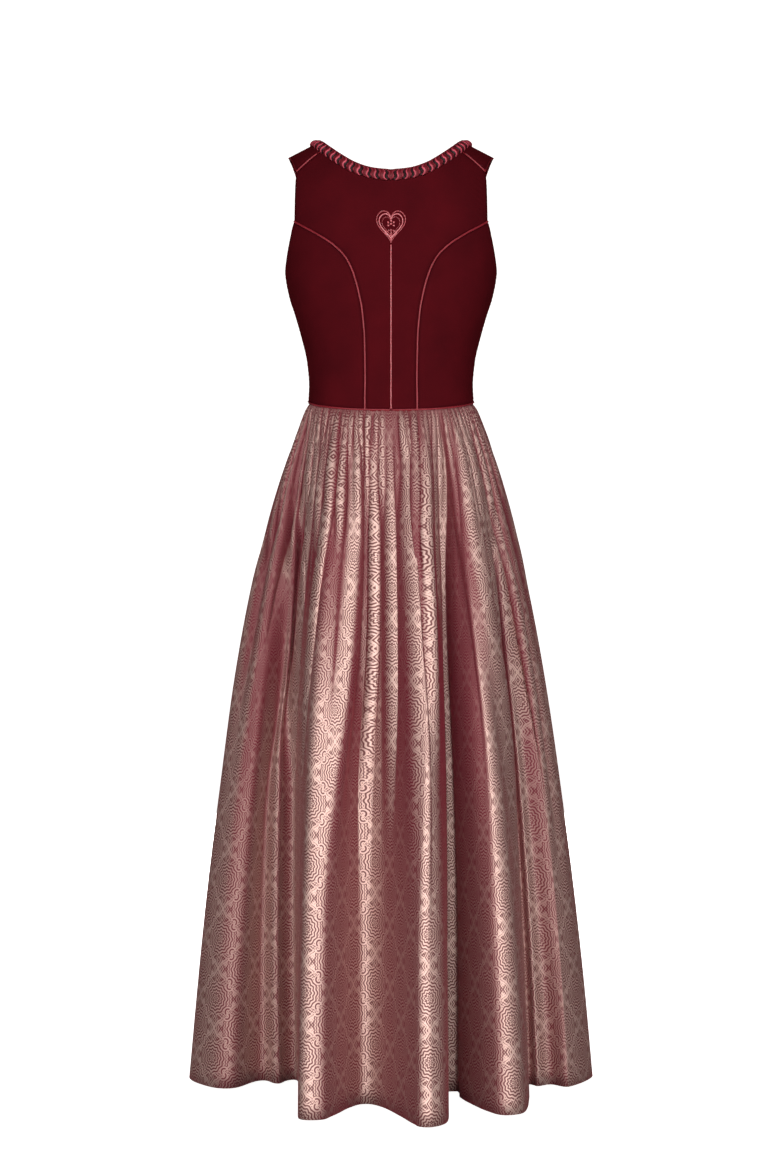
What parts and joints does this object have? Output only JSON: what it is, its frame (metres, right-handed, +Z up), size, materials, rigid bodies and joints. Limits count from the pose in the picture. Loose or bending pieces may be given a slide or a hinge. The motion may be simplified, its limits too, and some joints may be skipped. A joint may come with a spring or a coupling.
{
  "type": "dirndl dress",
  "caption": "Long sleeveless dirndl, worn and hollow: velvet bodice with piped seams and a ruched neck, full gathered jacquard skirt.",
  "frame": {"origin": "midway between the shoulders at the height of the shoulder ridge beside the neck, where the wearer's shoulders carry the dress", "axes": "+Z up, +X towards the wearer's left, +Y towards the wearer's back; the garment's front faces -Y"},
  "size_m": [0.6069, 0.5779, 1.3916],
  "materials": {
    "velvet": "deep red cotton velvet, short dense pile",
    "velvet_trim": "the same velvet, ruched into small puffs",
    "satin_piping": "satin-covered piping cord, brighter red",
    "beads": "pink-red glass beads and twisted cord",
    "jacquard": "two-colour jacquard, berry red ground under a champagne satin figure"
  },
  "bodies": {
    "root": {"bead_line_back": "beads", "bodice_back": "velvet", "bodice_back_side_left": "velvet", "bodice_back_side_right": "velvet", "bodice_front_left": "velvet", "bodice_front_right": "velvet", "bodice_front_side_left": "velvet", "bodice_front_side_right": "velvet", "neck_ruche": "velvet_trim", "ornament_back": "beads", "piping_back_left": "satin_piping", "piping_back_right": "satin_piping", "piping_shoulder_left": "satin_piping", "piping_shoulder_right": "satin_piping", "piping_waist": "satin_piping", "skirt_back": "jacquard", "skirt_front": "jacquard"}
  },
  "joints": []
}
